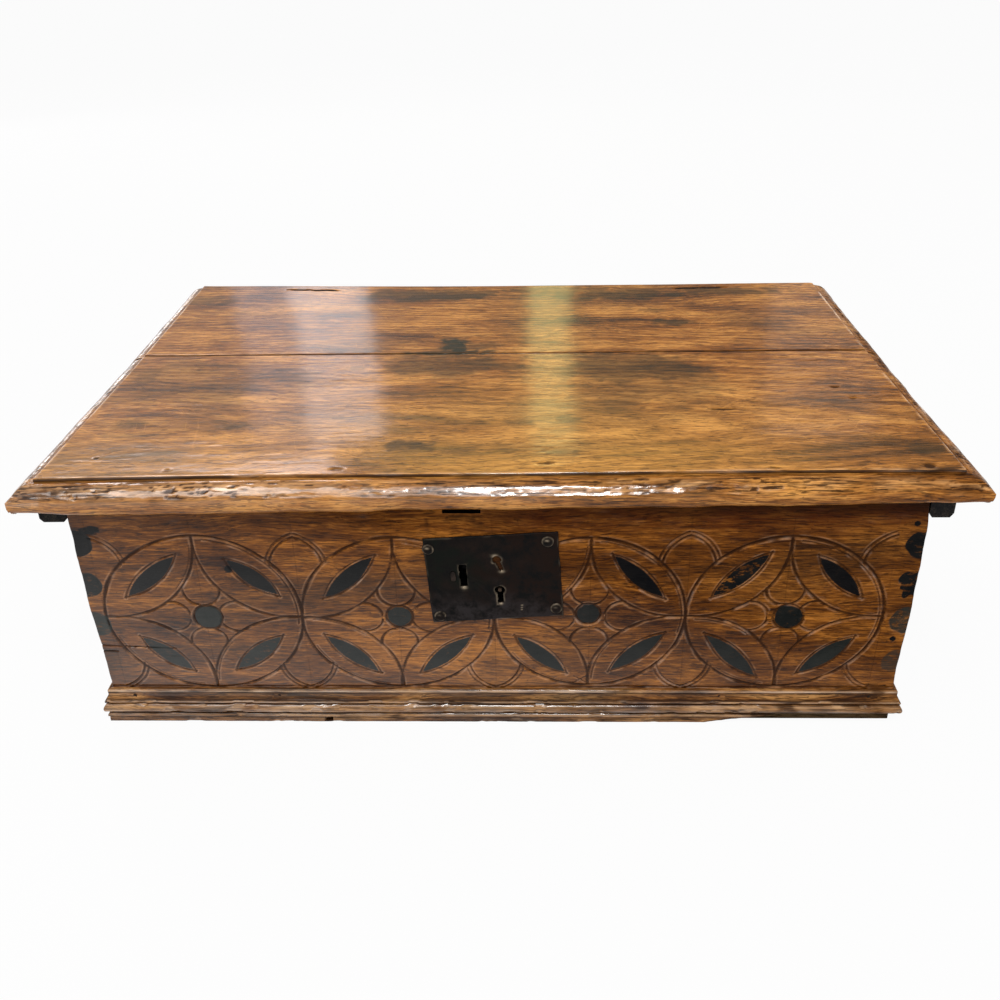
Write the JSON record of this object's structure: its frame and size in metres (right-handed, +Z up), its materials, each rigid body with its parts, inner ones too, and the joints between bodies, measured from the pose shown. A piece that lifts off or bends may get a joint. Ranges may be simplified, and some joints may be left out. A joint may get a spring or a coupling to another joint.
{
  "type": "bible box",
  "caption": "Low oak box with an overhanging moulded lid on wire snipe hinges, a compass-carved front with painted leaves, an iron hasp lock and a moulded plinth.",
  "frame": {"origin": "On the floor under the middle of the lid, which is the bottom centre of the whole object.", "axes": "+X to the right along the carved front, +Y from the front to the back, +Z up."},
  "size_m": [0.744, 0.481, 0.233],
  "materials": {
    "carved_oak": "old waxed oak, worn, with recessed grey-green paint in the carving",
    "board_oak": "old waxed oak",
    "bottom_oak": "dry unpolished oak, darkened",
    "lid_oak": "glossy waxed oak, streaked and scratched",
    "plinth_oak": "waxed oak, yellow-brown, dark in the hollows",
    "dark_batten": "nearly black old oak",
    "lock_iron": "hand-wrought iron plate, dark brown patina, rubbed at the edges",
    "works_iron": "forged iron, dull, with rust",
    "hinge_iron": "forged wire, black-brown",
    "nail_iron": "forged nail heads, black-brown"
  },
  "bodies": {
    "carcase": {"front_board": "carved_oak", "back_board": "board_oak", "left_end_board": "board_oak", "right_end_board": "board_oak", "bottom_front_board": "bottom_oak", "bottom_rear_board": "bottom_oak", "front_plinth": "plinth_oak", "left_plinth": "plinth_oak", "right_plinth": "plinth_oak", "front_nails": "nail_iron", "back_nails": "nail_iron", "bottom_nails": "nail_iron", "plinth_nails": "nail_iron", "left_box_hinge_pin": "hinge_iron", "right_box_hinge_pin": "hinge_iron", "lock_plate": "lock_iron", "lock_nails": "lock_iron", "bolt_guides": "works_iron", "bolt_stop": "lock_iron", "bolt_spring": "works_iron", "lock_bridge": "works_iron", "key_pin": "works_iron"},
    "lid": {"lid_front_board": "lid_oak", "lid_rear_board": "lid_oak", "left_batten": "dark_batten", "right_batten": "dark_batten", "batten_nails": "nail_iron", "left_lid_hinge_pin": "hinge_iron", "right_lid_hinge_pin": "hinge_iron"},
    "bolt": {"lock_bolt": "works_iron"}
  },
  "joints": [
    {"name": "lid_hinge", "type": "hinge", "parent": "carcase", "child": "lid", "pos_m": [0, 0.2337, 0.2068], "axis": [-1, 0, 0], "range_deg": [0, 150]},
    {"name": "bolt_slide", "type": "slide", "parent": "carcase", "child": "bolt", "axis": [-0.9981, 0, -0.061], "range_m": [0, 0.0105]}
  ]
}
